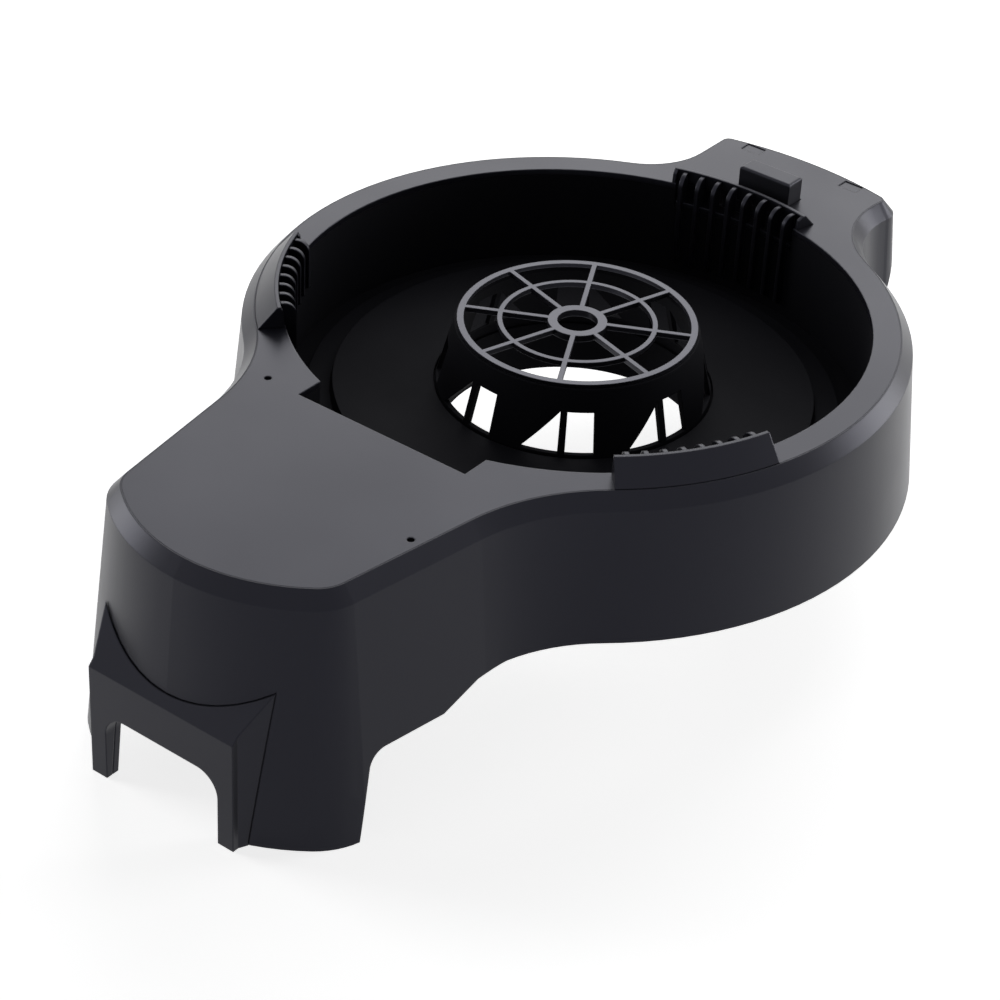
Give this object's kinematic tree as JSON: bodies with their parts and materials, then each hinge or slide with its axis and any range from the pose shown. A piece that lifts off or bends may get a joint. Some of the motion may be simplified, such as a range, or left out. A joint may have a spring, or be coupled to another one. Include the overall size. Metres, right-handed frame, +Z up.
{
  "type": "surface cleaner lower housing",
  "caption": "Black moulded lower housing of a floor surface cleaner: round open well, spoked guard cage, vent cowls, front bracket, rear release button.",
  "frame": {"origin": "on the ground under the middle of the object's box", "axes": "+Z up, -Y towards the front bracket, +X to the right seen from the front"},
  "size_m": [0.3086, 0.4616, 0.1288],
  "materials": {
    "housing_black": "satin moulded",
    "grille_black": "satin moulded",
    "button_black": "satin moulded",
    "insert_black": "matt",
    "screw_steel": "zinc plated",
    "spring_steel": "drawn wire",
    "buffer_rubber": "matt"
  },
  "bodies": {
    "root": {"skirt_shell": "housing_black", "deck_plate": "housing_black", "deck_screws": "screw_steel", "well_wall": "housing_black", "well_floor": "housing_black", "floor_screws": "screw_steel", "guard_cage": "grille_black", "cage_grille": "grille_black", "throat_collar": "housing_black", "cage_screws": "screw_steel", "vent_cowl_front_right": "housing_black", "vent_cowl_front_left": "housing_black", "vent_cowl_rear": "housing_black", "vent_fins_front_right": "housing_black", "vent_fins_front_left": "housing_black", "vent_fins_rear": "housing_black", "front_bracket": "housing_black", "button_guide": "housing_black", "guide_screws": "screw_steel", "button_spring": "spring_steel", "rear_inserts": "insert_black", "corner_buffers": "buffer_rubber"},
    "button": {"release_button": "button_black"}
  },
  "joints": [
    {"name": "button_press", "type": "slide", "parent": "root", "child": "button", "axis": [0, 0, 1], "range_m": [-0.004, 0], "stiffness_N_per_m": 600, "springref_m": 0.0015, "deforming": ["button_spring"]}
  ]
}
